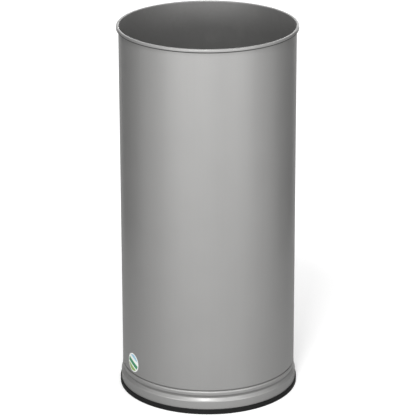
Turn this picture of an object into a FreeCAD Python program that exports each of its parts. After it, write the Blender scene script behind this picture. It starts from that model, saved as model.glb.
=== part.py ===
"""Open-topped round litter bin of painted sheet steel, 630 mm tall and about 300 mm across.

The bin is five pieces. A rolled shell has its top edge curled outwards and its lower end swaged in.
A foot ring sleeves over that lower end, and a floor pan presses up inside it. One lock groove is
rolled through all three sheets and holds them together. A rubber U profile is pushed over the lower
edge of the foot ring, and a round film label is stuck on the shell.

The origin is on the ground at the centre of the foot. +Z is up, and the front is -Y.
"""
import FreeCAD, Part
import math
import os

# ---- Overall sizes, in millimetres ----
overall_height = 630.0     # ground to the top of the rim
body_radius = 146.0        # outside of the shell

# ---- Sheets and clearances ----
shell_sheet = 0.8          # rolled shell
foot_sheet = 0.8           # foot ring
pan_sheet = 0.8            # floor pan
nest_gap = 0.1             # between nested sheets
film_gap = 0.05            # glue under the label

# ---- Rim: the shell's top edge, curled outwards and down ----
curl_reach = 3.6           # how far the curl stands out from the shell
curl_height = 5.8          # top of the rim to the underside of the curl
curl_gap = 0.15            # between the curl's returned edge and the shell
curl_return = 2.4          # height of the returned edge inside the curl

# ---- Longitudinal lap weld, at the back ----
lap_width = 6.0
lap_proud = 0.35           # how far the dressed weld stands out
lap_margin = 3.0           # plain shell left above and below it

# ---- Foot ring and lock groove ----
groove_height = 28.8       # middle of the groove, above the ground
groove_floor = 3.8         # height of the groove's floor, between its corners
groove_slope = 45.0        # slope of its sides, in degrees
lock_depth = 0.6           # how far the groove is pressed into the shell's neck
foot_proud = 2.6           # upright foot band, outside the shell
bulge_proud = 0.2          # fullest part of the collar, outside the shell
collar_rise = 8.3          # collar's top edge, above the groove's floor
collar_lean = 1.3          # how far that edge leans in on the neck
collar_drop = 1.1          # height over which it leans
swage_rise = 0.7           # foot of the shell's step, above the collar's edge
swage_drop = 2.4           # height of the step
shell_tail = 2.4           # shell left below its groove
flange_tail = 1.6          # pan flange left below its groove

# ---- Bends, as radii of the sheet's middle ----
swage_bend = 1.4
collar_bend = 2.6
groove_bend = 1.6
root_bend = 2.4            # from the groove's floor to the shoulder
shoulder_bend = 3.6
floor_bend = 2.0
pan_corner = 3.4
bend_share = 0.95          # of the groove's sloping side, taken up by bends in the inner sheets

# ---- Floor pan ----
floor_rise = 6.9           # top of the floor's edge, above the groove's floor
dish_depth = 3.0           # the middle lies this much lower
dish_radius = 112.0        # where the middle ends
dish_slope = 6.0           # width of the slope round it
rib_radius = 62.0          # pressed stiffening rib
rib_width = 9.0            # flat on its top
rib_rise = 1.6
rib_slope = 2.4            # width of each side

# ---- Rubber edge profile ----
rubber_height = 9.0
rubber_wall = 1.9          # each leg of the U
rubber_web = 2.2           # under the foot ring's edge
rubber_gap = 0.1           # between rubber and steel, all round
rubber_foot_round = 1.1    # corners that meet the ground
rubber_lip_round = 0.8     # tops of the legs
rubber_joint = 0.4         # butt joint between the profile's two ends
rubber_joint_angle = 24.0  # degrees from the back, towards +X

# ---- Label ----
label_diameter = 33.0
label_film = 0.15
label_margin = 2.4         # plain shell between it and the step
label_angle = 60.0         # degrees from the front, towards -X

# ---- Middles of the sheets, as radii. The neck clears the inner corner of the leaning collar. ----
shell_nest = foot_sheet / 2 + nest_gap + shell_sheet / 2
pan_nest = shell_nest + shell_sheet / 2 + nest_gap + pan_sheet / 2
wall_middle = body_radius - shell_sheet / 2
bulge_middle = body_radius + bulge_proud - foot_sheet / 2
foot_middle = body_radius + foot_proud - foot_sheet / 2
collar_corner = foot_sheet / 2 * collar_drop / math.hypot(collar_lean, collar_drop)
neck_middle = bulge_middle - collar_lean - collar_corner - nest_gap - shell_sheet / 2
flange_middle = neck_middle + shell_nest - pan_nest
groove_middle = neck_middle + shell_nest - lock_depth

# ---- Heights that follow ----
groove_top = groove_height + groove_floor / 2
groove_bottom = groove_height - groove_floor / 2
collar_height = groove_top + collar_rise
swage_bottom = collar_height + swage_rise
swage_top = swage_bottom + swage_drop
floor_height = groove_top + floor_rise
label_height = swage_top + label_margin + label_diameter / 2

ORIGIN = FreeCAD.Vector(0, 0, 0)
UP = FreeCAD.Vector(0, 0, 1)
TINY = 1e-6


def left_of(way):
    """The direction a quarter turn to the left of another, in the section plane."""
    return FreeCAD.Vector(-way.z, 0, way.x)


def bent_corner(before, corner, after, bend, offset):
    """Start, middle and end of the arc that rounds a corner, moved to the path's left by offset."""
    way_in = (corner - before).normalize()
    way_out = (after - corner).normalize()
    turn = math.atan2(way_in.x * way_out.z - way_in.z * way_out.x, way_in.dot(way_out))
    reach = math.copysign(bend, turn)
    centre = corner - way_in * (bend * math.tan(abs(turn) / 2)) + left_of(way_in) * reach
    ways = (way_in, (way_in + way_out).normalize(), way_out)
    return [centre - left_of(way) * (reach - offset) for way in ways]


def bent_path(corners, offset):
    """The stops of an open path through (radius, height, bend) corners, moved left by offset.

    A stop is the start, middle and end of one corner's arc. At the path's two ends they are equal.
    """
    points = [FreeCAD.Vector(radius, 0, height) for radius, height, _ in corners]
    first = points[0] + left_of((points[1] - points[0]).normalize()) * offset
    last = points[-1] + left_of((points[-1] - points[-2]).normalize()) * offset
    between = zip(points, points[1:], points[2:], corners[1:])
    bends = [bent_corner(before, point, after, corner[2], offset)
             for before, point, after, corner in between]
    return [[first] * 3] + bends + [[last] * 3]


def closed_loop(corners):
    """The stops of a closed outline through (radius, height, bend) corners."""
    points = [FreeCAD.Vector(radius, 0, height) for radius, height, _ in corners]
    around = zip(points[-1:] + points[:-1], points, points[1:] + points[:1], corners)
    return [bent_corner(before, point, after, corner[2], 0) for before, point, after, corner in around]


def turned(stops):
    """The solid that a closed row of stops makes when it is turned once round the axis."""
    edges = []
    for here, there in zip(stops, stops[1:] + stops[:1]):
        if here[0].distanceToPoint(here[2]) > TINY:
            edges.append(Part.Arc(*here).toShape())
        if here[2].distanceToPoint(there[0]) > TINY:
            edges.append(Part.LineSegment(here[2], there[0]).toShape())
    return Part.Face(Part.Wire(edges)).revolve(ORIGIN, UP, 360)


def turned_sheet(corners, thickness):
    """A turned sheet whose middle runs through the corners."""
    left = bent_path(corners, thickness / 2)
    right = bent_path(corners, -thickness / 2)
    return turned(left + [stop[::-1] for stop in reversed(right)])


def lock_groove(above, below, nest, bends):
    """Corners of the lock groove, downwards, in the sheet that lies nest inside the foot ring.

    The sheet comes down at radius above and leaves at radius below. Each sheet's floor is longer
    than the one outside it, which keeps the gap between their sloping sides.
    """
    slope = math.radians(groove_slope)
    floor = groove_middle - nest
    top = groove_top + nest * math.tan(slope / 2)
    bottom = groove_bottom - nest * math.tan(slope / 2)
    places = [(above, top + (above - floor) / math.tan(slope)),
              (floor, top),
              (floor, bottom),
              (below, bottom - (below - floor) / math.tan(slope))]
    return [(*place, bend) for place, bend in zip(places, bends)]


def inner_groove(radius, nest):
    """The lock groove in a sheet that comes down and leaves at one radius.

    Its bends fill nearly the whole of its two sloping sides.
    """
    slope = math.radians(groove_slope)
    side = (radius - groove_middle + nest) / math.sin(slope)
    bend = bend_share * side / (2 * math.tan(slope / 2))
    return lock_groove(radius, radius, nest, [bend] * 4)


def tube(inside, outside, low, high):
    """An upright tube round the axis."""
    base = FreeCAD.Vector(0, 0, low)
    return Part.makeCylinder(outside, high - low, base).cut(Part.makeCylinder(inside, high - low, base))


def lap_weld():
    """The weld's thickening: a narrow upright strip on the outside of the wall, at the back."""
    low = swage_top + lap_margin
    high = overall_height - curl_height - lap_margin
    corner = FreeCAD.Vector(-lap_width / 2, 0, low)
    strip = Part.makeBox(lap_width, body_radius + curl_reach, high - low, corner)
    return tube(wall_middle, body_radius + lap_proud, low, high).common(strip)


def body_shell():
    """Rolled shell: curled rim, straight wall, swaged neck and its share of the lock groove."""
    rim = overall_height - shell_sheet / 2
    underside = overall_height - curl_height + shell_sheet / 2
    outside = body_radius + curl_reach - shell_sheet / 2
    inside = body_radius + curl_gap + shell_sheet / 2
    groove = inner_groove(neck_middle, shell_nest)
    under_bend = (outside - inside) / 2
    over_bend = (outside - wall_middle) / 2
    corners = [(inside, underside + curl_return, 0),
               (inside, underside, under_bend),
               (outside, underside, under_bend),
               (outside, rim, over_bend),
               (wall_middle, rim, over_bend),
               (wall_middle, swage_top, swage_bend),
               (neck_middle, swage_bottom, swage_bend),
               *groove,
               (neck_middle, groove[-1][1] - shell_tail, 0)]
    return turned_sheet(corners, shell_sheet).fuse(lap_weld()).removeSplitter()


def foot_ring():
    """Foot ring: collar leaning on the neck, bulge, lock groove, shoulder and upright band."""
    bends = (groove_bend, groove_bend, root_bend, shoulder_bend)
    corners = [(bulge_middle - collar_lean, collar_height, 0),
               (bulge_middle, collar_height - collar_drop, collar_bend),
               *lock_groove(bulge_middle, foot_middle, 0, bends),
               (foot_middle, rubber_web + rubber_gap, 0)]
    return turned_sheet(corners, foot_sheet)


def floor_pan():
    """Floor pan: dished floor with a pressed ring rib, and a flange down inside the neck."""
    edge = floor_height - pan_sheet / 2
    middle = edge - dish_depth
    rib_low = rib_radius - rib_width / 2
    rib_high = rib_radius + rib_width / 2
    groove = inner_groove(flange_middle, pan_nest)
    corners = [(0, middle, 0),
               (rib_low - rib_slope, middle, floor_bend),
               (rib_low, middle + rib_rise, floor_bend),
               (rib_high, middle + rib_rise, floor_bend),
               (rib_high + rib_slope, middle, floor_bend),
               (dish_radius, middle, floor_bend),
               (dish_radius + dish_slope, edge, floor_bend),
               (flange_middle, edge, pan_corner),
               *groove,
               (flange_middle, groove[-1][1] - flange_tail, 0)]
    return turned_sheet(corners, pan_sheet)


def edge_protector():
    """Rubber U profile over the foot ring's lower edge, cut to length and butted."""
    slot_in = foot_middle - foot_sheet / 2 - rubber_gap
    slot_out = foot_middle + foot_sheet / 2 + rubber_gap
    inside = slot_in - rubber_wall
    outside = slot_out + rubber_wall
    section = [(inside, 0, rubber_foot_round),
               (outside, 0, rubber_foot_round),
               (outside, rubber_height, rubber_lip_round),
               (slot_out, rubber_height, rubber_lip_round),
               (slot_out, rubber_web, 0),
               (slot_in, rubber_web, 0),
               (slot_in, rubber_height, rubber_lip_round),
               (inside, rubber_height, rubber_lip_round)]
    joint = Part.makeBox(rubber_joint, 2 * body_radius, rubber_height,
                         FreeCAD.Vector(-rubber_joint / 2, 0, 0))
    joint.rotate(ORIGIN, UP, -rubber_joint_angle)
    return turned(closed_loop(section)).cut(joint)


def label():
    """Round film label, wrapped on the shell low at the front left."""
    turn = math.radians(label_angle)
    way = FreeCAD.Vector(-math.sin(turn), -math.cos(turn), 0)
    inside = body_radius + film_gap
    film = tube(inside, inside + label_film, label_height - label_diameter, label_height + label_diameter)
    punch = Part.makeCylinder(label_diameter / 2, 2 * body_radius, UP * label_height, way)
    return film.common(punch)


os.makedirs("parts", exist_ok=True)
for make_piece in (body_shell, foot_ring, floor_pan, edge_protector, label):
    make_piece().exportStep("parts/%s.step" % make_piece.__name__)
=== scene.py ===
"""Open-topped round litter bin in silver-grey painted sheet steel, standing on a plain pale floor.

Each piece of the bin is turned round its upright axis from a section that is drawn here as the
middle line of its sheet, so that every bend has its true radius and every cut edge is broken. The
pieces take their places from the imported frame. Lengths are in metres, +Z is up and the front is -Y.
"""
import logging
import math
from dataclasses import dataclass
from enum import Enum
from typing import Callable, Optional, Sequence, Union

import bpy
from mathutils import Matrix, Vector


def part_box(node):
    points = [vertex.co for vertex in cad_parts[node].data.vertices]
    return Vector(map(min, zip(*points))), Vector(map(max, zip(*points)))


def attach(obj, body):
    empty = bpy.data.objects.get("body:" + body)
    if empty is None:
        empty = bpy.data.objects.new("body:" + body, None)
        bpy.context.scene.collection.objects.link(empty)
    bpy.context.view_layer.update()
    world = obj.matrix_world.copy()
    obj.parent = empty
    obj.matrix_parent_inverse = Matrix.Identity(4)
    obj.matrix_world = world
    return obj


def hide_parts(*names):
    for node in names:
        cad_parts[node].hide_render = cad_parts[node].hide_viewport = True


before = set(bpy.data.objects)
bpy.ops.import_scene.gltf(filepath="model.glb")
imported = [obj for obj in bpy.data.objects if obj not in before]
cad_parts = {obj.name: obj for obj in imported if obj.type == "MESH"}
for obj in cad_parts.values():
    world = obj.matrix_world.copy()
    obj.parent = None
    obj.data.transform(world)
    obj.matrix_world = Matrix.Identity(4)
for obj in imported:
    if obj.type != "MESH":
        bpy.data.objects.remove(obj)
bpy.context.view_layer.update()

BOXES = {node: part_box(node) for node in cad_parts}
MM = 0.001
# Turn below which a corner counts as straight, in radians, and distance at which a point lies on the axis.
STRAIGHT = 1e-6
ON_AXIS = 1e-7
LOG = logging.getLogger("litter_bin")
Relief = Callable[[float, float, float], float]


class Slot(Enum):
    """The material slots of the bin's pieces."""

    PAINTED_STEEL = "painted_steel"
    BLACK_RUBBER = "black_rubber"
    PRINTED_FILM = "printed_film"


# ---------------------------------------------------------------------------------------------
# Sections
# ---------------------------------------------------------------------------------------------


@dataclass(frozen=True)
class Corner:
    """A corner of a section.

    Attributes:
        radius: Distance from the bin's axis.
        height: Height above the ground.
        bend: Radius that the corner is rounded to.
    """

    radius: float
    height: float
    bend: float = 0.0

    @property
    def place(self) -> Vector:
        """The corner's place in the section plane."""
        return Vector((self.radius, self.height))


def left_of(way: Vector) -> Vector:
    """The direction a quarter turn to the left of way."""
    return Vector((-way.y, way.x))


@dataclass
class Section:
    """A closed outline in the section plane.

    Attributes:
        corners: The outline's corners, in order.
        arc_step: Largest angle between two points of a rounded corner.
        support: Plain length kept next to a rounded corner, so that shading bends only there.
        longest: Longest plain stretch between two points.
    """

    corners: list[Corner]
    arc_step: float = math.radians(11.25)
    support: float = 0.3 * MM
    longest: float = 24.0 * MM

    @classmethod
    def of_sheet(cls, line: Sequence[Corner], thickness: float, edge: float = 0.18 * MM) -> "Section":
        """The outline of a sheet of even thickness.

        Args:
            line: Corners of the sheet's middle line, from one cut edge to the other.
            thickness: The sheet's thickness.
            edge: Radius that its cut edges are broken to.

        Returns:
            The section, with both faces and both cut edges.
        """
        left = cls._beside(line, thickness / 2, edge)
        right = cls._beside(line, -thickness / 2, edge)
        return cls(left + right[::-1])

    @staticmethod
    def _beside(line: Sequence[Corner], offset: float, edge: float) -> list[Corner]:
        """The corners of one face of a sheet.

        Args:
            line: The sheet's middle line.
            offset: Distance to the left of that line.
            edge: Radius of the broken cut edges.

        Returns:
            The face's corners, each with its own bend.
        """
        first = line[0].place + left_of((line[1].place - line[0].place).normalized()) * offset
        last = line[-1].place + left_of((line[-1].place - line[-2].place).normalized()) * offset
        face = [Corner(*first, edge)]
        for before, here, after in zip(line, line[1:], line[2:]):
            way_in = (here.place - before.place).normalized()
            way_out = (after.place - here.place).normalized()
            turn = math.atan2(way_in.cross(way_out), way_in.dot(way_out))
            middle = left_of((way_in + way_out).normalized())
            place = here.place + middle * (offset / math.cos(turn / 2))
            face.append(Corner(*place, here.bend - math.copysign(offset, turn)))
        return face + [Corner(*last, edge)]

    def points(self) -> list[Vector]:
        """The outline's points, with rounded corners as arcs and long stretches divided."""
        arcs = []
        count = len(self.corners)
        for index, corner in enumerate(self.corners):
            before = self.corners[index - 1].place
            after = self.corners[(index + 1) % count].place
            arcs.append(self._arc(before, corner, after))
        points: list[Vector] = []
        for arc, following in zip(arcs, arcs[1:] + arcs[:1]):
            points += arc
            points += self._between(arc[-1], following[0])
        return points

    def _arc(self, before: Vector, corner: Corner, after: Vector) -> list[Vector]:
        """The points of one rounded corner.

        Args:
            before: Place of the corner before it.
            corner: The corner.
            after: Place of the corner after it.

        Returns:
            The points from the arc's start to its end, or the corner itself if it is sharp.
        """
        way_in = (corner.place - before).normalized()
        way_out = (after - corner.place).normalized()
        turn = math.atan2(way_in.cross(way_out), way_in.dot(way_out))
        if corner.bend <= 0 or abs(turn) < STRAIGHT:
            return [corner.place]
        reach = math.copysign(corner.bend, turn)
        start = corner.place - way_in * (corner.bend * math.tan(abs(turn) / 2))
        centre = start + left_of(way_in) * reach
        steps = max(2, math.ceil(abs(turn) / self.arc_step))
        angle = math.atan2(way_in.y, way_in.x)
        ways = (angle + turn * step / steps for step in range(steps + 1))
        return [centre - left_of(Vector((math.cos(way), math.sin(way)))) * reach for way in ways]

    def _between(self, start: Vector, end: Vector) -> list[Vector]:
        """The points that divide a plain stretch, without its ends.

        Args:
            start: Where the stretch starts.
            end: Where it ends.

        Returns:
            A support point near each end, and even steps between them.
        """
        length = (end - start).length
        if length < 3 * self.support:
            return []
        inner = length - 2 * self.support
        steps = max(1, math.ceil(inner / self.longest))
        places = [self.support + inner * step / steps for step in range(steps + 1)]
        return [start.lerp(end, place / length) for place in places]


# ---------------------------------------------------------------------------------------------
# Turned meshes
# ---------------------------------------------------------------------------------------------


def add_object(name: str, vertices: Sequence[Sequence[float]], faces: Sequence[Sequence[int]],
               map_name: str = "", places: Sequence[tuple] = (), flat: int = 0) -> bpy.types.Object:
    """Adds an object with a mesh to the scene.

    Args:
        name: The object's name.
        vertices: Its vertices.
        faces: Its faces, as vertex numbers.
        map_name: Name of its UV map. With none it stays unmapped and flat.
        places: A UV place for each corner of each face.
        flat: Number of flat faces, last in the list. The others are shaded smooth.

    Returns:
        The object.
    """
    mesh = bpy.data.meshes.new(name)
    mesh.from_pydata(vertices, [], faces)
    if map_name:
        layer = mesh.uv_layers.new(name=map_name)
        layer.data.foreach_set("uv", [number for place in places for number in place])
        mesh.polygons.foreach_set("use_smooth", [True] * (len(faces) - flat) + [False] * flat)
        mesh.validate()
    piece = bpy.data.objects.new(name, mesh)
    bpy.context.scene.collection.objects.link(piece)
    return piece


@dataclass
class Lathe:
    """Turns sections round the bin's axis into meshes with an unrolled map.

    Attributes:
        around: Number of even steps round the axis.
        map_name: Name of the UV map that each mesh gets.
    """

    around: int = 240
    map_name: str = "OFBake"

    def angles(self, fine_at: Sequence[float] = ()) -> list[float]:
        """The angles of a full turn, with extra ones.

        Args:
            fine_at: Angles to add, in radians from 0 to a full turn.

        Returns:
            All the angles in order.
        """
        even = [2 * math.pi * step / self.around for step in range(self.around)]
        return sorted(even + list(fine_at))

    def turn(self, name: str, section: Section, angles: Sequence[float],
             relief: Optional[Relief] = None, closed: bool = True) -> bpy.types.Object:
        """Turns a section into an object.

        Args:
            name: The object's name.
            section: The section to turn.
            angles: The angles that it stands at, in order.
            relief: How far a point stands out of round, from its angle, radius and height.
            closed: Whether the last angle joins the first one.

        Returns:
            The new object, in the scene's collection.
        """
        points = section.points()
        if self._area(points) > 0:
            points.reverse()
        rings, vertices = [], []
        for point in points:
            if point.x < ON_AXIS:
                rings.append([len(vertices)] * len(angles))
                vertices.append((0.0, 0.0, point.y))
                continue
            rings.append(list(range(len(vertices), len(vertices) + len(angles))))
            for angle in angles:
                out = point.x + (relief(angle, point.x, point.y) if relief else 0.0)
                vertices.append((out * math.cos(angle), out * math.sin(angle), point.y))
        lengths = self._lengths(points)
        faces, places = [], []
        columns = list(range(len(angles))) + ([0] if closed else [])
        shares = [angle / (2 * math.pi) for angle in angles] + ([1.0] if closed else [])
        for row, (ring, above) in enumerate(zip(rings, rings[1:] + rings[:1])):
            low, high = lengths[row], lengths[row + 1]
            for left, right, at, to in zip(columns, columns[1:], shares, shares[1:]):
                corners = [(ring[left], (at, low)), (above[left], (at, high)),
                           (above[right], (to, high)), (ring[right], (to, low))]
                kept = [pair for spot, pair in enumerate(corners) if pair[0] != corners[spot - 1][0]]
                if len({vertex for vertex, _ in kept}) > 2:
                    faces.append([vertex for vertex, _ in kept])
                    places += [place for _, place in kept]
        ends = () if closed else ((0, 1), (-1, -1))
        for column, order in ends:
            cap = [ring[column] for ring in rings][::order]
            faces.append(cap)
            places += [(0.0, 0.0)] * len(cap)
        return add_object(name, vertices, faces, self.map_name, places, len(ends))

    @staticmethod
    def _area(points: Sequence[Vector]) -> float:
        """Twice the signed area inside the points, positive if they run anticlockwise."""
        return sum(a.cross(b) for a, b in zip(points, list(points[1:]) + [points[0]]))

    @staticmethod
    def _lengths(points: Sequence[Vector]) -> list[float]:
        """How far along the outline each point lies, as a share of it, with 1 at the end."""
        lengths = [0.0]
        for start, end in zip(points, list(points[1:]) + [points[0]]):
            lengths.append(lengths[-1] + (end - start).length)
        return [length / lengths[-1] for length in lengths]


# ---------------------------------------------------------------------------------------------
# Shader graphs
# ---------------------------------------------------------------------------------------------

Number = Union[float, "Value"]


class Value:
    """A socket that carries a number, with Python's arithmetic.

    Each operation adds one Math node to the socket's graph.
    """

    def __init__(self, graph: "Graph", socket: bpy.types.NodeSocket) -> None:
        """Wraps a socket.

        Args:
            graph: The graph that the socket belongs to.
            socket: The socket.
        """
        self.graph = graph
        self.socket = socket

    def _math(self, operation: str, *numbers: Number) -> "Value":
        """The result of a Math node.

        Args:
            operation: The node's operation.
            numbers: Its inputs, in order.

        Returns:
            The node's output.
        """
        node = self.graph.add("ShaderNodeMath", {"operation": operation}, dict(enumerate(numbers)))
        return Value(self.graph, node.outputs[0])

    def __add__(self, other: Number) -> "Value":
        """self + other."""
        return self._math("ADD", self, other)

    def __radd__(self, other: Number) -> "Value":
        """other + self."""
        return self._math("ADD", other, self)

    def __sub__(self, other: Number) -> "Value":
        """self - other."""
        return self._math("SUBTRACT", self, other)

    def __rsub__(self, other: Number) -> "Value":
        """other - self."""
        return self._math("SUBTRACT", other, self)

    def __mul__(self, other: Number) -> "Value":
        """self * other."""
        return self._math("MULTIPLY", self, other)

    def __rmul__(self, other: Number) -> "Value":
        """other * self."""
        return self._math("MULTIPLY", other, self)

    def __pow__(self, other: Number) -> "Value":
        """self ** other."""
        return self._math("POWER", self, other)

    def __rpow__(self, other: Number) -> "Value":
        """other ** self."""
        return self._math("POWER", other, self)

    def __gt__(self, other: Number) -> "Value":
        """1 where self is over other, 0 elsewhere."""
        return self._math("GREATER_THAN", self, other)

    def __lt__(self, other: Number) -> "Value":
        """1 where self is under other, 0 elsewhere."""
        return self._math("LESS_THAN", self, other)

    def __abs__(self) -> "Value":
        """The size of self."""
        return self._math("ABSOLUTE", self)

    def sine(self) -> "Value":
        """The sine of self."""
        return self._math("SINE", self)

    def highest(self, other: Number) -> "Value":
        """The higher of self and other."""
        return self._math("MAXIMUM", self, other)

    def step(self, low: float, high: float) -> "Value":
        """A smooth rise from 0 at low to 1 at high, or a fall if low is over high.

        Args:
            low: Where the result is 0.
            high: Where the result is 1.

        Returns:
            The result, which stays at 0 and 1 beyond the two.
        """
        falls = low > high
        ends = {"From Min": min(low, high), "From Max": max(low, high),
                "To Min": float(falls), "To Max": float(not falls)}
        node = self.graph.add("ShaderNodeMapRange", {"interpolation_type": "SMOOTHSTEP"},
                              {"Value": self, **ends})
        return Value(self.graph, node.outputs["Result"])


class Graph:
    """One material and its nodes."""

    def __init__(self, name: str) -> None:
        """Makes an empty material.

        Args:
            name: The material's name.
        """
        self.material = bpy.data.materials.new(name)
        self.material.use_nodes = True
        self.tree = self.material.node_tree
        self.tree.nodes.clear()

    def add(self, kind: str, settings: Optional[dict] = None,
            inputs: Optional[dict] = None) -> bpy.types.Node:
        """Adds a node.

        Args:
            kind: The node's type.
            settings: Its settings, which are set first. "stops" is a ramp's (place, colour) list.
            inputs: Values or links for its sockets, by name or by number.

        Returns:
            The node.
        """
        node = self.tree.nodes.new(kind)
        for name, value in (settings or {}).items():
            if name == "stops":
                self._set_stops(node.color_ramp, value)
            else:
                setattr(node, name, value)
        for name, value in (inputs or {}).items():
            socket = node.inputs[name] if isinstance(name, int) else self._named(node.inputs, name)
            if isinstance(value, Value):
                value = value.socket
            if isinstance(value, bpy.types.NodeSocket):
                self.tree.links.new(value, socket)
            else:
                socket.default_value = value
        return node

    @staticmethod
    def _named(sockets: Sequence[bpy.types.NodeSocket], name: str) -> bpy.types.NodeSocket:
        """The socket in use with this name."""
        return next(socket for socket in sockets if socket.name == name and socket.enabled)

    @staticmethod
    def _set_stops(ramp: bpy.types.ColorRamp, stops: Sequence[tuple]) -> None:
        """Sets a ramp's stops.

        Args:
            ramp: The ramp.
            stops: A place and a colour for each stop, in order.
        """
        while len(ramp.elements) < len(stops):
            ramp.elements.new(1.0)
        for element, (place, colour) in zip(ramp.elements, stops):
            element.position = place
            element.color = colour

    def place(self) -> bpy.types.NodeSocket:
        """The point's place in the frame, in metres."""
        return self.add("ShaderNodeTexCoord").outputs["Object"]

    def axes(self) -> tuple[Value, Value, Value]:
        """The point's x, y and z, in metres."""
        split = self.add("ShaderNodeSeparateXYZ", None, {0: self.place()})
        return tuple(Value(self, split.outputs[axis]) for axis in "XYZ")

    def stretched(self, x: float, y: float, z: float) -> bpy.types.NodeSocket:
        """The point's place with each axis scaled.

        Args:
            x: Scale along X.
            y: Scale along Y.
            z: Scale along Z.

        Returns:
            The scaled place.
        """
        node = self.add("ShaderNodeVectorMath", {"operation": "MULTIPLY"}, {0: self.place(), 1: (x, y, z)})
        return node.outputs[0]

    def noise(self, size: float, detail: float = 2.0, roughness: float = 0.5,
              place: Optional[bpy.types.NodeSocket] = None) -> Value:
        """Noise from 0 to 1.

        Args:
            size: Length of its largest features, in metres.
            detail: How many finer layers it has.
            roughness: How strong those layers are.
            place: The place that it is read at, or None for the point's own.

        Returns:
            The noise.
        """
        node = self.add("ShaderNodeTexNoise", None,
                        {"Vector": place or self.place(), "Scale": 1.0 / size, "Detail": detail,
                         "Roughness": roughness})
        return Value(self, node.outputs[0])

    def blend(self, first: object, second: object, share: Number) -> bpy.types.NodeSocket:
        """A mix of two colours.

        Args:
            first: The colour at share 0, as a socket or four numbers.
            second: The colour at share 1.
            share: How much of the second there is.

        Returns:
            The mixed colour.
        """
        node = self.add("ShaderNodeMix", {"data_type": "RGBA"}, {"Factor": share, "A": first, "B": second})
        return self._named(node.outputs, "Result")

    def bump(self, height: Value, distance: float, strength: float = 1.0,
             under: Optional[bpy.types.NodeSocket] = None) -> bpy.types.NodeSocket:
        """A normal that follows a height.

        Args:
            height: The height, from 0 to 1.
            distance: What a height of 1 means, in metres.
            strength: How much of it is felt.
            under: A normal that it is laid on.

        Returns:
            The normal.
        """
        inputs = {"Height": height, "Distance": distance, "Strength": strength}
        if under is not None:
            inputs["Normal"] = under
        return self.add("ShaderNodeBump", None, inputs).outputs[0]

    def finish(self, **inputs: object) -> bpy.types.Material:
        """Closes the graph with one Principled shader.

        Args:
            inputs: Values or links for its sockets, with _ for a space in a name.

        Returns:
            The material.
        """
        named = {name.replace("_", " "): value for name, value in inputs.items()}
        shader = self.add("ShaderNodeBsdfPrincipled", None, named)
        self.add("ShaderNodeOutputMaterial", None, {"Surface": shader.outputs[0]})
        return self.material


def grey(level: float) -> tuple[float, float, float, float]:
    """A neutral colour of this level, very slightly warm."""
    return (level * 1.006, level, level * 0.985, 1.0)


# ---------------------------------------------------------------------------------------------
# Finishes
# ---------------------------------------------------------------------------------------------


@dataclass(frozen=True)
class ShadeBand:
    """A level band of a surface that is painted darker, as painted shade.

    Attributes:
        low: Its lower edge.
        high: Its upper edge.
        strength: How much of the painted shade's dark grey it takes on.
    """

    low: float
    high: float
    strength: float


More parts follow.
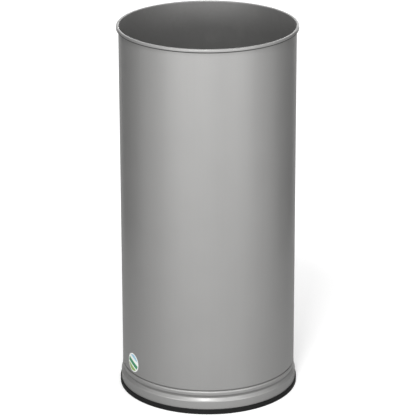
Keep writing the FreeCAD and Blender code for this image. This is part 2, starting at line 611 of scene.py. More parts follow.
@dataclass(frozen=True)
class PaintedSteel:
    """Silver-grey satin powder coat on sheet steel.

    Attributes:
        level: Colour of the paint.
        metallic: Share of metal flake in it.
        roughness: Its roughness on clean surfaces.
        coat: Strength of the clear layer over it.
        coat_roughness: Roughness of that layer.
        inside_shade: How light the bin's inside is painted, as a share of the outside, as painted shade.
        inside_rough: How much rougher it is there.
        flake_size: Size of the metal flake.
        flake_tone: How far the flake changes the colour.
        cloud_size: Size of the faint clouds in the paint.
        cloud_change: How far the clouds change the colour and the roughness.
        streak_size: Width of the faint upright streaks.
        streak_squeeze: Scale of height where the streaks are read, which draws them out upwards.
        streak_tone: How far the streaks change the colour.
        scuff_size: Size of the scuff marks.
        scuff_share: Their colour, as a share of the paint's.
        scuff_strength: How much of that colour they take on.
        scuff_rough: How much rougher they are.
        foot: Height below which shoes and mops have scuffed it.
        foot_full: Height below which the scuffs are at full strength.
        shade_fade: How far the painted shade fades out beyond a band.
        shade_share: Colour of the painted shade, as a share of the paint's.
        dust_size: Size of the patches of dust inside.
        dust_colour: Their colour.
        dust_change: How far they change the colour and the roughness.
        peel_size: Spacing of the orange peel.
        peel_depth: Its depth.
        seam: Half the width of the weld at the back.
        ripple: Spacing of the fine ripples along it.
        ripple_depth: Their depth.
    """

    level: float = 0.30
    metallic: float = 0.65
    roughness: float = 0.46
    coat: float = 0.4
    coat_roughness: float = 0.24
    inside_shade: float = 0.82
    inside_rough: float = 0.06
    flake_size: float = 0.55 * MM
    flake_tone: float = 0.10
    cloud_size: float = 70.0 * MM
    cloud_change: float = 0.05
    streak_size: float = 6.0 * MM
    streak_squeeze: float = 0.03
    streak_tone: float = 0.03
    scuff_size: float = 9.0 * MM
    scuff_share: float = 0.62
    scuff_strength: float = 0.35
    scuff_rough: float = 0.12
    foot: float = 24.0 * MM
    foot_full: float = 6.0 * MM
    shade_fade: float = 0.6 * MM
    shade_share: float = 0.15
    dust_size: float = 18.0 * MM
    dust_colour: tuple[float, float, float, float] = (0.22, 0.21, 0.19, 1.0)
    dust_change: float = 0.10
    peel_size: float = 1.6 * MM
    peel_depth: float = 0.012 * MM
    seam: float = 3.0 * MM
    ripple: float = 1.8 * MM
    ripple_depth: float = 0.05 * MM

    def make(self, name: str, inside: float, shade_bands: Sequence[ShadeBand] = ()) -> bpy.types.Material:
        """Makes the material.

        Args:
            name: The material's name.
            inside: Radius below which a surface is the bin's inside.
            shade_bands: Level bands of the outside that are painted darker, as painted shade.

        Returns:
            The material.
        """
        graph = Graph(name)
        x, y, z = graph.axes()
        radius = (x * x + y * y) ** 0.5
        flake = graph.noise(self.flake_size, 1.0)
        cloud = graph.noise(self.cloud_size, 3.0)
        upright = graph.stretched(1.0, 1.0, self.streak_squeeze)
        streak = graph.noise(self.streak_size, 2.0, 0.6, upright)
        scuff = self._scuffs(graph, z)
        within = (radius < inside) * 1.0
        tone = self.level * (1 + (flake - 0.5) * self.flake_tone + (cloud - 0.5) * self.cloud_change
                             + (streak - 0.5) * self.streak_tone)
        # Painted shade: the bin's inside is painted darker than its outside.
        tone = tone * (1 - within * (1 - self.inside_shade))
        colour = graph.blend(grey(0.0), grey(1.0), tone.highest(0.0))
        colour = graph.blend(colour, grey(self.level * self.scuff_share), scuff * self.scuff_strength)
        # Painted shade: each band of the outside is blended towards a dark grey.
        for shade_band in shade_bands:
            line = (z.step(shade_band.low - self.shade_fade, shade_band.low)
                    * z.step(shade_band.high + self.shade_fade, shade_band.high) * (1 - within))
            colour = graph.blend(colour, grey(self.level * self.shade_share), line * shade_band.strength)
        dust = graph.noise(self.dust_size, 4.0, 0.65).step(0.45, 0.75) * within
        colour = graph.blend(colour, self.dust_colour, dust * self.dust_change)
        rough = (self.roughness + (cloud - 0.5) * self.cloud_change + scuff * self.scuff_rough
                 + within * self.inside_rough + dust * self.dust_change)
        peel = graph.bump(graph.noise(self.peel_size, 2.0, 0.45), self.peel_depth)
        ripple = self._weld(graph, x, y, z)
        return graph.finish(
            Base_Color=colour, Metallic=self.metallic, Roughness=rough, Coat_Weight=self.coat,
            Coat_Roughness=self.coat_roughness, Normal=graph.bump(ripple, self.ripple_depth, under=peel))

    def _scuffs(self, graph: Graph, z: Value) -> Value:
        """Thin marks low on the bin.

        Args:
            graph: The graph to draw in.
            z: Height above the ground.

        Returns:
            A mask of them.
        """
        level = graph.stretched(0.5, 0.5, 3.0)
        marks = graph.noise(self.scuff_size, 5.0, 0.7, level).step(0.60, 0.72)
        return marks * z.step(self.foot, self.foot_full)

    def _weld(self, graph: Graph, x: Value, y: Value, z: Value) -> Value:
        """The fine ripples along the weld at the back.

        Args:
            graph: Not used.
            x: The point's x.
            y: The point's y.
            z: The point's z.

        Returns:
            Their height, from 0 to 1.
        """
        along = (z * (2 * math.pi / self.ripple)).sine() * 0.5 + 0.5
        near = abs(x).step(self.seam * 1.3, self.seam * 0.7) * (y > 0.0)
        return along * near


@dataclass(frozen=True)
class BlackRubber:
    """Matte black rubber with a faint dusty bloom.

    Attributes:
        level: Its colour.
        roughness: Its roughness.
        specular: Strength of its sheen.
        bloom_size: Size of the patches of bloom.
        bloom_tone: How far the bloom changes the colour.
        bloom_rough: How far it changes the roughness.
        scuffed_below: Height below which the floor has greyed it.
        wear_size: Size of the worn spots.
        wear_level: Their colour.
        wear_strength: How much of that colour they take on.
        wear_rough: How much rougher they are.
        grain_size: Spacing of the grain.
        grain_depth: Its depth.
    """

    level: float = 0.006
    roughness: float = 0.60
    specular: float = 0.2
    bloom_size: float = 14.0 * MM
    bloom_tone: float = 0.5
    bloom_rough: float = 0.12
    scuffed_below: float = 2.2 * MM
    wear_size: float = 3.0 * MM
    wear_level: float = 0.09
    wear_strength: float = 0.6
    wear_rough: float = 0.2
    grain_size: float = 0.35 * MM
    grain_depth: float = 0.02 * MM

    def make(self, name: str) -> bpy.types.Material:
        """Makes the material.

        Args:
            name: The material's name.

        Returns:
            The material.
        """
        graph = Graph(name)
        _, _, z = graph.axes()
        bloom = graph.noise(self.bloom_size, 4.0, 0.6)
        worn = z.step(self.scuffed_below, 0.0) * graph.noise(self.wear_size, 4.0, 0.7).step(0.4, 0.7)
        tone = self.level * (1 + (bloom - 0.5) * self.bloom_tone)
        colour = graph.blend(grey(0.0), grey(1.0), tone)
        colour = graph.blend(colour, grey(self.wear_level), worn * self.wear_strength)
        rough = self.roughness + (bloom - 0.5) * self.bloom_rough + worn * self.wear_rough
        grain = graph.bump(graph.noise(self.grain_size, 3.0, 0.6), self.grain_depth)
        return graph.finish(Base_Color=colour, Roughness=rough, Specular_IOR_Level=self.specular,
                            Normal=grain)


class Ink(Enum):
    """The colours that the label is printed in."""

    LIGHT_GREEN = (0.24, 0.38, 0.09, 1.0)
    WHITE = (0.80, 0.84, 0.80, 1.0)
    DARK_GREEN = (0.02, 0.22, 0.09, 1.0)
    PALE_BLUE = (0.28, 0.50, 0.64, 1.0)
    BORDER_WHITE = (0.80, 0.82, 0.80, 1.0)


@dataclass(frozen=True)
class PrintedFilm:
    """Printed plastic film: plain leaning bands of colour inside a white border.

    Attributes:
        bands: Where each band starts, from the bottom to the top, and its ink.
        rise: How fast the bands follow one another upwards.
        slant: How fast they do sideways, which makes them lean.
        border: Width of the white border, as a share of the label's radius.
        border_fade: Half the width over which the border starts.
        roughness: Its roughness.
        fleck_size: Size of the print's flecks.
        fleck_strength: How far the flecks change the colour.
        fleck_rough: How far they change the roughness.
        wave_size: Size of the film's slight waves.
        wave_depth: Their depth.
    """

    bands: tuple[tuple[float, Ink], ...] = (
        (0.0, Ink.LIGHT_GREEN), (0.26, Ink.WHITE), (0.34, Ink.DARK_GREEN), (0.58, Ink.WHITE),
        (0.78, Ink.PALE_BLUE))
    rise: float = 0.5
    slant: float = 0.2
    border: float = 0.12
    border_fade: float = 0.02
    roughness: float = 0.3
    fleck_size: float = 1.2 * MM
    fleck_strength: float = 0.15
    fleck_rough: float = 0.1
    wave_size: float = 5.0 * MM
    wave_depth: float = 0.03 * MM

    def make(self, name: str, map_name: str) -> bpy.types.Material:
        """Makes the material.

        Args:
            name: The material's name.
            map_name: The UV map whose middle is the label's middle.

        Returns:
            The material.
        """
        graph = Graph(name)
        uv = graph.add("ShaderNodeUVMap", {"uv_map": map_name}).outputs[0]
        split = graph.add("ShaderNodeSeparateXYZ", None, {0: uv})
        across = (Value(graph, split.outputs[0]) - 0.5) * 2.0
        up = (Value(graph, split.outputs[1]) - 0.5) * 2.0
        lean = up * self.rise + across * self.slant + 0.5
        stops = [(start, ink.value) for start, ink in self.bands]
        bands = graph.add("ShaderNodeValToRGB", {"stops": stops}, {"Fac": lean})
        bands.color_ramp.interpolation = "CONSTANT"
        reach = (across * across + up * up) ** 0.5
        inner = 1.0 - self.border
        edge = reach.step(inner - self.border_fade, inner + self.border_fade)
        colour = graph.blend(bands.outputs[0], Ink.BORDER_WHITE.value, edge)
        fleck = graph.noise(self.fleck_size, 3.0)
        colour = graph.blend(colour, grey(0.5), (fleck - 0.35).highest(0.0) * self.fleck_strength)
        return graph.finish(Base_Color=colour, Roughness=self.roughness + fleck * self.fleck_rough,
                            Normal=graph.bump(graph.noise(self.wave_size, 2.0), self.wave_depth))


# ---------------------------------------------------------------------------------------------
# The bin's pieces
# ---------------------------------------------------------------------------------------------


@dataclass(frozen=True)
class LockGroove:
    """The groove that is rolled through all three sheets at the foot.

    Attributes:
        height: Its middle, above the ground.
        floor: Height of its floor, between its corners.
        radius: Radius of its floor, at the middle of the foot ring's sheet.
        slope: Slope of its sides.
        bend_share: Share of a sloping side that bends take up in the inner sheets.
    """

    height: float = 28.8 * MM
    floor: float = 3.8 * MM
    radius: float = 144.04 * MM
    slope: float = math.radians(45.0)
    bend_share: float = 0.95

    @property
    def top(self) -> float:
        """Upper end of its floor."""
        return self.height + self.floor / 2

    def corners(self, above: float, below: float, nest: float, bends: Sequence[float]) -> list[Corner]:
        """The groove's corners in one sheet, downwards.

        Args:
            above: Radius of the sheet above the groove.
            below: Its radius below.
            nest: How far it lies inside the foot ring's sheet.
            bends: Radius of each of the four bends.

        Returns:
            The four corners.
        """
        bottom = self.radius - nest
        spread = nest * math.tan(self.slope / 2)
        high, low = self.top + spread, self.height - self.floor / 2 - spread
        places = [(above, high + (above - bottom) / math.tan(self.slope)), (bottom, high), (bottom, low),
                  (below, low - (below - bottom) / math.tan(self.slope))]
        return [Corner(*place, bend) for place, bend in zip(places, bends)]

    def inner(self, radius: float, nest: float) -> list[Corner]:
        """The groove's corners in a sheet with one radius above and below it.

        Args:
            radius: That radius.
            nest: How far the sheet lies inside the foot ring's.

        Returns:
            The four corners.
        """
        side = (radius - self.radius + nest) / math.sin(self.slope)
        bend = self.bend_share * side / (2 * math.tan(self.slope / 2))
        return self.corners(radius, radius, nest, [bend] * 4)


@dataclass
class BodyShell:
    """The rolled shell, with its curled rim, its swaged neck and the weld at its back.

    Attributes:
        lathe: Turns its section.
        groove: The lock groove that runs through its neck.
        finish: Its paint.
        sheet: Thickness of its sheet.
        curl_reach: How far the curl stands out from the wall.
        curl_height: Height of the curl.
        curl_gap: Gap between the wall and the sheet's edge inside the curl.
        curl_return: How far that edge is turned up.
        neck: Radius of the swaged neck, at the middle of its sheet.
        nest: How far the sheet lies inside the foot ring's, in the groove.
        swage_bottom: Height at which the neck starts.
        swage_drop: Height of the step down to it.
        swage_bend: Radius of that step's two bends.
        weld_width: Width of the weld.
        weld_proud: How far it stands out.
        weld_margin: Plain height kept beyond each of its ends.
        weld_side: Width over which its sides rise.
        weld_end: Height over which its ends rise.
        weld_step: Distance between two lines of points across it.
        weld_lines: Number of such lines on each side of its middle.
        weave: Depth of the wall's slight waves.
        weave_fade: Height over which they start and stop.
        waves: Share, turns round the bin, radians up each metre and start of each wave.
        shade_below: How far the painted shade reaches below the curl's underside.
        shade_above: How far it reaches above it.
        shade_strength: How dark it is painted.
    """

    lathe: Lathe
    groove: LockGroove
    finish: PaintedSteel
    sheet: float = 0.8 * MM
    curl_reach: float = 3.6 * MM
    curl_height: float = 5.8 * MM
    curl_gap: float = 0.15 * MM
    curl_return: float = 2.4 * MM
    neck: float = 143.742 * MM
    nest: float = 0.9 * MM
    swage_bottom: float = 39.7 * MM
    swage_drop: float = 2.4 * MM
    swage_bend: float = 1.4 * MM
    weld_width: float = 6.0 * MM
    weld_proud: float = 0.35 * MM
    weld_margin: float = 3.0 * MM
    weld_side: float = 1.0 * MM
    weld_end: float = 2.0 * MM
    weld_step: float = 0.35 * MM
    weld_lines: int = 12
    weave: float = 0.07 * MM
    weave_fade: float = 40.0 * MM
    waves: tuple[tuple[float, float, float, float], ...] = (
        (1.0, 3.0, 9.0, 0.0), (0.6, 7.0, -13.0, 1.1), (0.5, 2.0, 21.0, 2.3))
    shade_below: float = 0.9 * MM
    shade_above: float = 1.5 * MM
    shade_strength: float = 0.94

    @property
    def radius(self) -> float:
        """Outside radius of the plain wall."""
        return BOXES["body_shell"][1][0] - self.curl_reach

    def section(self) -> Section:
        """The shell's section, from the curl's inner edge to the lower cut edge."""
        low, high = BOXES["body_shell"]
        half = self.sheet / 2
        rim = high[2] - half
        underside = high[2] - self.curl_height + half
        outside = high[0] - half
        inside = self.radius + self.curl_gap + half
        wall = self.radius - half
        line = [Corner(inside, underside + self.curl_return),
                Corner(inside, underside, (outside - inside) / 2),
                Corner(outside, underside, (outside - inside) / 2),
                Corner(outside, rim, (outside - wall) / 2),
                Corner(wall, rim, (outside - wall) / 2),
                Corner(wall, self.swage_bottom + self.swage_drop, self.swage_bend),
                Corner(self.neck, self.swage_bottom, self.swage_bend),
                *self.groove.inner(self.neck, self.nest),
                Corner(self.neck, low[2])]
        return Section.of_sheet(line, self.sheet)

    def relief(self, angle: float, radius: float, height: float) -> float:
        """How far the wall stands out of round.

        Args:
            angle: Angle round the axis.
            radius: Radius of the point.
            height: Its height.

        Returns:
            The sheet's slight waviness, and the weld on its outside.
        """
        low = self.swage_bottom + self.swage_drop
        high = BOXES["body_shell"][1][2] - self.curl_height
        plain = smooth((height - low) / self.weave_fade) * smooth((high - height) / self.weave_fade)
        slack = 0.01 * MM
        if not self.radius - 2 * self.sheet < radius < self.radius + slack:
            return 0.0
        waves = sum(share * math.sin(turns * angle + slope * height + start)
                    for share, turns, slope, start in self.waves)
        out = self.weave * plain * waves / sum(wave[0] for wave in self.waves)
        if radius > self.radius - self.sheet / 2:
            out += self.weld_proud * self._weld(angle, height, low, high)
        return out

    def _weld(self, angle: float, height: float, low: float, high: float) -> float:
        """The weld's share of its full height at a point of the outside.

        Args:
            angle: Angle round the axis.
            height: Height of the point.
            low: Lower end of the plain wall.
            high: Its upper end.

        Returns:
            A number from 0 to 1.
        """
        aside = abs(math.remainder(angle - math.pi / 2, 2 * math.pi)) * self.radius
        across = smooth((self.weld_width / 2 - aside) / self.weld_side)
        start, end = height - low - self.weld_margin, high - self.weld_margin - height
        return across * smooth(start / self.weld_end) * smooth(end / self.weld_end)

    def make(self) -> bpy.types.Object:
        """Makes the shell, painted."""
        lines = range(-self.weld_lines, self.weld_lines + 1)
        fine = [math.pi / 2 + self.weld_step * line / self.radius for line in lines if line]
        piece = self.lathe.turn("shell", self.section(), self.lathe.angles(fine), self.relief)
        inside = self.radius - self.sheet / 2
        underside = BOXES["body_shell"][1][2] - self.curl_height
        # Painted shade: a nearly black band is painted on the wall just under the curl.
        curl = ShadeBand(underside - self.shade_below, underside + self.shade_above, self.shade_strength)
        piece.data.materials.append(self.finish.make("shell_paint", inside, [curl]))
        return piece


@dataclass
class FootRing:
    """The formed ring round the foot: collar, bulge, groove, shoulder and upright band.

    Attributes:
        lathe: Turns its section.
        groove: The lock groove.
        finish: Its paint.
        sheet: Thickness of its sheet.
        bulge: Radius above the groove, at the middle of its sheet.
        collar_height: Height of the collar's edge.
        collar_lean: How far the collar leans in.
        collar_drop: Height over which it does.
        collar_bend: Radius of the bend below it.
        bends: Radius of each of the groove's bends, downwards.
        shade_below: How far the painted shade reaches below the groove's middle.
        shade_above: How far it reaches above it.
        shade_strength: How dark it is painted.
    """

    lathe: Lathe
    groove: LockGroove
    finish: PaintedSteel
    sheet: float = 0.8 * MM
    bulge: float = 145.8 * MM
    collar_height: float = 39.0 * MM
    collar_lean: float = 1.3 * MM
    collar_drop: float = 1.1 * MM
    collar_bend: float = 2.6 * MM
    bends: tuple[float, ...] = (1.6 * MM, 1.6 * MM, 0.9 * MM, 2.4 * MM)
    shade_below: float = 1.0 * MM
    shade_above: float = 2.5 * MM
    shade_strength: float = 0.35

    def section(self) -> Section:
        """The ring's section, from its collar's edge down to its lower one."""
        low, high = BOXES["foot_ring"]
        band = high[0] - self.sheet / 2
        line = [Corner(self.bulge - self.collar_lean, self.collar_height),
                Corner(self.bulge, self.collar_height - self.collar_drop, self.collar_bend),
                *self.groove.corners(self.bulge, band, 0.0, self.bends),
                Corner(band, low[2])]
        return Section.of_sheet(line, self.sheet)

    def make(self) -> bpy.types.Object:
        """Makes the ring, painted."""
        piece = self.lathe.turn("foot_band", self.section(), self.lathe.angles())
        middle = self.groove.height
        # Painted shade: a darker band is painted in the groove.
        line = ShadeBand(middle - self.shade_below, middle + self.shade_above, self.shade_strength)
        inside = self.groove.radius - self.sheet
        piece.data.materials.append(self.finish.make("foot_paint", inside, [line]))
        return piece


@dataclass
class FloorPan:
    """The pressed floor, with its ring rib and its flange.

    Attributes:
        lathe: Turns its section.
        groove: The lock groove that runs through its flange.
        finish: Its paint.
        sheet: Thickness of its sheet.
        nest: How far the sheet lies inside the foot ring's, in the groove.
        corner: Radius of the bend between the pan and its flange.
        bend: Radius of the pan's other bends.
        dish_depth: How far the pan is pressed down.
        dish_radius: Radius of the part that is pressed down.
        dish_slope: Width of the slope round it.
        rib_radius: Radius of the ring rib's middle.
        rib_width: Width of the rib's top.
        rib_rise: Its height.
        rib_slope: Width of each of its sides.
    """

    lathe: Lathe
    groove: LockGroove
    finish: PaintedSteel
    sheet: float = 0.8 * MM
    nest: float = 1.8 * MM
    corner: float = 3.4 * MM
    bend: float = 2.0 * MM
    dish_depth: float = 3.0 * MM
    dish_radius: float = 112.0 * MM
    dish_slope: float = 6.0 * MM
    rib_radius: float = 62.0 * MM
    rib_width: float = 9.0 * MM
    rib_rise: float = 1.6 * MM
    rib_slope: float = 2.4 * MM

    def section(self) -> Section:
        """The pan's section, from its middle out to its flange's lower edge."""
        low, high = BOXES["floor_pan"]
        half = self.sheet / 2
        flange = high[0] - half
        edge = high[2] - half
        middle = edge - self.dish_depth
        inner, outer = self.rib_radius - self.rib_width / 2, self.rib_radius + self.rib_width / 2
        line = [Corner(0.0, middle),
                Corner(inner - self.rib_slope, middle, self.bend),
                Corner(inner, middle + self.rib_rise, self.bend),
                Corner(outer, middle + self.rib_rise, self.bend),
                Corner(outer + self.rib_slope, middle, self.bend),
                Corner(self.dish_radius, middle, self.bend),
                Corner(self.dish_radius + self.dish_slope, edge, self.bend),
                Corner(flange, edge, self.corner),
                *self.groove.inner(flange, self.nest),
                Corner(flange, low[2])]
        section = Section.of_sheet(line, self.sheet)
        section.corners[0] = Corner(*section.corners[0].place)
        section.corners[-1] = Corner(*section.corners[-1].place)
        return section

    def make(self) -> bpy.types.Object:
        """Makes the pan, painted."""
        piece = self.lathe.turn("floor", self.section(), self.lathe.angles())
        # Painted shade: the whole pan counts as the bin's inside, so it is painted darker.
        piece.data.materials.append(self.finish.make("floor_paint", BOXES["floor_pan"][1][0]))
        return piece


@dataclass
class EdgeProfile:
    """The rubber profile that is pushed over the foot ring's lower edge.

    Attributes:
        lathe: Turns its section.
        finish: Its rubber.
        slot: Width of the slot that takes the sheet.
        wall: Thickness of its two walls.
        web: Thickness of the web below the slot.
        foot_round: Radius of its lower edges.
        lip_round: Radius of its upper edges.
        joint: Width of its open butt joint.
        joint_angle: Where the joint is, from +X towards the back.
    """

    lathe: Lathe
    finish: BlackRubber
    slot: float = 1.0 * MM
    wall: float = 1.9 * MM
    web: float = 2.2 * MM
    foot_round: float = 1.1 * MM
    lip_round: float = 0.8 * MM
    joint: float = 0.4 * MM
    joint_angle: float = math.radians(90.0 - 24.0)

    def section(self) -> Section:
        """The U-shaped section."""
        low, high = BOXES["edge_protector"]
        outside, top = high[0], high[2]
        slot_out = outside - self.wall
        slot_in = slot_out - self.slot
        inside = slot_in - self.wall
        return Section([Corner(inside, low[2], self.foot_round), Corner(outside, low[2], self.foot_round),
                        Corner(outside, top, self.lip_round), Corner(slot_out, top, self.lip_round),
                        Corner(slot_out, low[2] + self.web), Corner(slot_in, low[2] + self.web),
                        Corner(slot_in, top, self.lip_round), Corner(inside, top, self.lip_round)])

    def make(self) -> bpy.types.Object:
        """Makes the profile, with its butt joint open by a hair."""
        half = self.joint / 2 / BOXES["edge_protector"][1][0]
        turn = 2 * math.pi - 2 * half
        start = self.joint_angle + half
        angles = [start + turn * step / self.lathe.around for step in range(self.lathe.around + 1)]
        piece = self.lathe.turn("edge_profile", self.section(), angles, closed=False)
        piece.data.materials.append(self.finish.make("edge_rubber"))
        return piece


@dataclass
class Label:
    """The round film label on the shell.

    Attributes:
        shell: The shell that it is stuck on.
        finish: Its print.
        map_name: UV map that the print is laid out on.
        film_gap: Gap between the wall and the film.
        film: Thickness of the film.
        edge: Radius of its outer edge.
        rings: Number of rings of faces on its front.
        back_rings: Number on its back.
        around: Number of steps round it.
        angle: Where its middle is, from +X towards the back.
    """

    shell: BodyShell
    finish: PrintedFilm
    map_name: str = "print"
    film_gap: float = 0.05 * MM
    film: float = 0.15 * MM
    edge: float = 0.05 * MM
    rings: int = 14
    back_rings: int = 4
    around: int = 96
    angle: float = math.radians(-150.0)

    @property
    def height(self) -> float:
        """Height of the label's middle."""
        low, high = BOXES["label"]
        return ((low + high) / 2)[2]

    @property
    def radius(self) -> float:
        """The label's own radius."""
        low, high = BOXES["label"]
        return (high[2] - low[2]) / 2

    def _point(self, out: float, way: float, lift: float) -> tuple[float, float, float]:
        """A point of the film.

        Args:
            out: Distance from the label's middle.
            way: Direction from its middle, 0 to the right.
            lift: Height above the film's back.

        Returns:
            The point, on the wall's own curve.
        """
        height = self.height + out * math.sin(way)
        angle = self.angle + out * math.cos(way) / self.shell.radius
        radius = self.shell.radius + self.film_gap + lift
        radius += self.shell.relief(angle % (2 * math.pi), self.shell.radius, height)
        return (radius * math.cos(angle), radius * math.sin(angle), height)

    def make(self) -> bpy.types.Object:
        """Makes the label, printed."""
        reach, thick, edge = self.radius, self.film, self.edge
        rows = [(reach * ring / self.rings, thick) for ring in range(1, self.rings)]
        bevel = 0.3 * edge
        rows += [(reach - edge, thick), (reach - bevel, thick - bevel), (reach, thick - edge)]
        rows += [(reach, 0.0), (reach - edge, 0.0)]
        rows += [(reach * ring / self.back_rings, 0.0) for ring in range(self.back_rings - 1, 0, -1)]
        vertices = [self._point(0.0, 0.0, thick), self._point(0.0, 0.0, 0.0)]
        flat = [(0.5, 0.5), (0.5, 0.5)]
        for out, lift in rows:
            for step in range(self.around):
                way = 2 * math.pi * step / self.around
                vertices.append(self._point(out, way, lift))
                share = out / reach / 2
                flat.append((0.5 + share * math.cos(way), 0.5 + share * math.sin(way)))
        ring = [[2 + row * self.around + step for step in range(self.around)] for row in range(len(rows))]
        turn = [(step, (step + 1) % self.around) for step in range(self.around)]
        faces = [(0, ring[0][a], ring[0][b]) for a, b in turn]
        for inner, outer in zip(ring, ring[1:]):
            faces += [(inner[a], outer[a], outer[b], inner[b]) for a, b in turn]
        faces += [(ring[-1][a], 1, ring[-1][b]) for a, b in turn]
        places = [flat[vertex] for face in faces for vertex in face]
        piece = add_object("round_label", vertices, faces, self.map_name, places)
        piece.data.materials.append(self.finish.make("label_print", self.map_name))
        return piece


def smooth(share: float) -> float:
    """A smooth rise from 0 to 1 as share goes from 0 to 1."""
    share = min(max(share, 0.0), 1.0)
    return share * share * (3.0 - 2.0 * share)


# ---------------------------------------------------------------------------------------------
# Studio
# ---------------------------------------------------------------------------------------------


@dataclass(frozen=True)
class SoftBox:
    """A rectangular area light that points at a target.

    Attributes:
        name: The light's name.
        place: Where it stands.
        target: What it points at.
        width: Its width.
        height: Its height.
        power: Its power, in watts.
    """

    name: str
    place: tuple[float, float, float]
    target: tuple[float, float, float]
    width: float
    height: float
    power: float

    def make(self) -> bpy.types.Object:
        """Adds the light to the scene."""
        light = bpy.data.lights.new(self.name, "AREA")
        light.shape = "RECTANGLE"
        light.size = self.width
        light.size_y = self.height
        light.energy = self.power
        lamp = bpy.data.objects.new(self.name, light)
        lamp.location = self.place
        way = Vector(self.target) - Vector(self.place)
        lamp.rotation_euler = way.to_track_quat("-Z", "Y").to_euler()
        lamp.visible_camera = False
        bpy.context.scene.collection.objects.link(lamp)
        return lamp


@dataclass(frozen=True)
class Flag:
    """A tall dark board beside the bin for its flank to reflect. It is unseen and throws no shadow.

    Attributes:
        name: The board's name.
        azimuth: Where it stands round the bin, from the front towards +X, in degrees.
        distance: How far from the bin's axis.
        width: Its width.
        height: Its height.
        level: Its colour.
    """

    name: str
    azimuth: float
    distance: float = 0.75
    width: float = 0.7
    height: float = 1.3
    level: float = 0.12

    def make(self) -> bpy.types.Object:
        """Adds the board, facing the bin."""
        turn = math.radians(self.azimuth)
        way = Vector((math.sin(turn), -math.cos(turn), 0.0))
        aside = Vector((way.y, -way.x, 0.0)) * (self.width / 2)
        foot = way * self.distance
        top = Vector((0.0, 0.0, self.height))
        corners = [foot - aside, foot + aside, foot + aside + top, foot - aside + top]
        board = stage_plate(self.name, corners, self.level)
        board.visible_camera = False
        board.visible_shadow = False
        return board


def stage_plate(name: str, corners: Sequence[Sequence[float]], level: float,
                glow: float = 0.0) -> bpy.types.Object:
    """Adds a matte four-sided plate that belongs to the studio.

    Args:
        name: The plate's name.
        corners: Its four corners, in order.
        level: Its colour.
        glow: Strength of its own light.

    Returns:
        The plate.
    """
    plate = add_object(name, corners, [(0, 1, 2, 3)])
    graph = Graph(name + "_paper")
    white = (1.0, 1.0, 1.0, 1.0)
    tone = level * (1 + (graph.noise(0.4, 2.0) - 0.5) * 0.01)
    colour = graph.blend((0.0, 0.0, 0.0, 1.0), white, tone)
    plate.data.materials.append(graph.finish(Base_Color=colour, Roughness=0.9, Emission_Color=white,
                                             Emission_Strength=glow))
    return plate


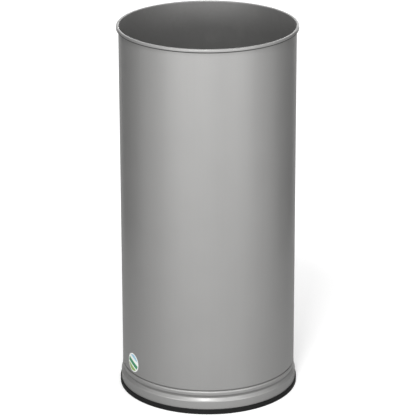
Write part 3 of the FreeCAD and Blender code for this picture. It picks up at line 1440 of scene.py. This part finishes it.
@dataclass
class Studio:
    """Floor, lights and camera.

    Attributes:
        floor_size: Side of the square floor.
        floor_level: Colour of the floor, which lies just under the bin.
        floor_glow: Strength of the floor's own light, which the bin doesn't catch.
        cloth_level: Colour of the cloth under it.
        cloth_drop: How far under the floor the cloth lies.
        sky: Colour of the light from all round.
        sky_strength: Its strength.
        middle: Height that the lights are placed round.
        wall_target: Height on the bin's axis that the wide lights point at.
        foot_target: Height that the two small ones point at.
        wide_rise: How high the wide lights stand, in degrees.
        wide_distance: How far off they stand.
        wide_height: Their height.
        small_distance: How far off the two small ones stand.
        flag_turn: Where the flags stand, to each side, in degrees.
        camera_distance: How far in front of the bin's axis the camera stands.
        camera_height: Its height.
        camera_tilt: How far it looks up, or down if it is negative.
        camera_roll: How far it is rolled.
        lens: Its focal length in millimetres.
        sensor: Width of its sensor in millimetres.
    """

    floor_size: float = 30.0
    floor_level: float = 0.9
    floor_glow: float = 0.22
    cloth_level: float = 0.66
    cloth_drop: float = 0.02
    sky: float = 1.0
    sky_strength: float = 0.88
    middle: float = 0.3
    wall_target: float = 0.35
    foot_target: float = 0.1
    wide_rise: float = 5.0
    wide_distance: float = 5.0
    wide_height: float = 1.4
    small_distance: float = 2.6
    flag_turn: float = 115.0
    camera_distance: float = 3.8435
    camera_height: float = 1.7078
    camera_tilt: float = math.radians(-19.975)
    camera_roll: float = math.radians(0.123)
    lens: float = 211.05
    sensor: float = 36.0

    def make_floor(self) -> None:
        """Adds the pale glowing floor, and the duller cloth under it that the bin reflects instead."""
        half = self.floor_size / 2
        ground = BOXES["edge_protector"][0][2] - 0.05 * MM
        square = [(-half, -half), (half, -half), (half, half), (-half, half)]
        floor = stage_plate("studio_floor", [(*place, ground) for place in square],
                            self.floor_level, self.floor_glow)
        floor.visible_diffuse = False
        floor.visible_glossy = False
        cloth = stage_plate("studio_cloth", [(*place, ground - self.cloth_drop) for place in square],
                            self.cloth_level)
        cloth.visible_camera = False

    def make_sky(self) -> None:
        """Gives the scene even light from all round."""
        world = bpy.data.worlds.new("studio_sky")
        world.use_nodes = True
        background = world.node_tree.nodes["Background"]
        background.inputs["Color"].default_value = (self.sky, self.sky, self.sky, 1.0)
        background.inputs["Strength"].default_value = self.sky_strength
        bpy.context.scene.world = world

    def around(self, azimuth: float, elevation: float, distance: float) -> tuple[float, float, float]:
        """A place round the middle of the bin.

        Args:
            azimuth: Angle from the front towards +X, in degrees.
            elevation: Angle above the middle, in degrees.
            distance: Distance from the middle.

        Returns:
            The place.
        """
        turn, rise = math.radians(azimuth), math.radians(elevation)
        return (distance * math.sin(turn) * math.cos(rise), -distance * math.cos(turn) * math.cos(rise),
                self.middle + distance * math.sin(rise))

    def _wide(self, name: str, azimuth: float, width: float, power: float) -> SoftBox:
        """A wide light that draws the wall.

        Args:
            name: The light's name.
            azimuth: Where it stands, from the front towards +X, in degrees.
            width: Its width.
            power: Its power, in watts.

        Returns:
            The light.
        """
        place = self.around(azimuth, self.wide_rise, self.wide_distance)
        return SoftBox(name, place, (0.0, 0.0, self.wall_target), width, self.wide_height, power)

    def _small(self, name: str, azimuth: float, rise: float, width: float, height: float,
               power: float) -> SoftBox:
        """A small high light that draws the foot's edges.

        Args:
            name: The light's name.
            azimuth: Where it stands, from the front towards +X, in degrees.
            rise: How high it stands, in degrees.
            width: Its width.
            height: Its height.
            power: Its power, in watts.

        Returns:
            The light.
        """
        place = self.around(azimuth, rise, self.small_distance)
        return SoftBox(name, place, (0.0, 0.0, self.foot_target), width, height, power)

    def make_lights(self) -> None:
        """Adds the wide lights at the front and the back, the small ones for edges and the two flags."""
        boxes = [self._wide("front", -2.0, 2.7, 66.0),
                 self._wide("front_left", -36.0, 2.7, 67.0),
                 self._wide("front_right", 38.0, 2.7, 66.0),
                 self._small("edge_left", -7.0, 57.0, 0.36, 0.3, 27.0),
                 self._small("edge_right", 50.0, 55.0, 0.2, 0.2, 3.5),
                 self._wide("back", 172.0, 2.4, 36.0)]
        for box in boxes:
            box.make()
        for flag in (Flag("flag_left", -self.flag_turn), Flag("flag_right", self.flag_turn)):
            flag.make()

    def make_camera(self) -> bpy.types.Object:
        """Adds the camera and makes it the scene's own."""
        data = bpy.data.cameras.new("camera")
        data.sensor_width = self.sensor
        data.lens = self.lens
        camera = bpy.data.objects.new("camera", data)
        camera.location = (0.0, -self.camera_distance, self.camera_height)
        tilt = Matrix.Rotation(math.pi / 2 + self.camera_tilt, 3, "X")
        camera.rotation_euler = (tilt @ Matrix.Rotation(-self.camera_roll, 3, "Z")).to_euler()
        bpy.context.scene.collection.objects.link(camera)
        bpy.context.scene.camera = camera
        return camera

    def make(self) -> None:
        """Builds the whole studio."""
        self.make_camera()
        self.make_floor()
        self.make_sky()
        self.make_lights()
        bpy.context.scene.view_settings.view_transform = "Standard"


def main() -> None:
    """Builds the bin and its studio, and reports each piece."""
    logging.basicConfig(level=logging.INFO, format="%(name)s: %(message)s")
    Studio().make()
    lathe, groove, paint = Lathe(), LockGroove(), PaintedSteel()
    shell = BodyShell(lathe, groove, paint)
    makers = [(shell, "body_shell", Slot.PAINTED_STEEL),
              (FootRing(lathe, groove, paint), "foot_ring", Slot.PAINTED_STEEL),
              (FloorPan(lathe, groove, paint), "floor_pan", Slot.PAINTED_STEEL),
              (EdgeProfile(lathe, BlackRubber()), "edge_protector", Slot.BLACK_RUBBER),
              (Label(shell, PrintedFilm()), "label", Slot.PRINTED_FILM)]
    for maker, node, slot in makers:
        piece = maker.make()
        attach(piece, "root")
        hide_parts(node)
        LOG.info("%s: %d faces, for %s", piece.name, len(piece.data.polygons), node)


if __name__ == "__main__":
    main()
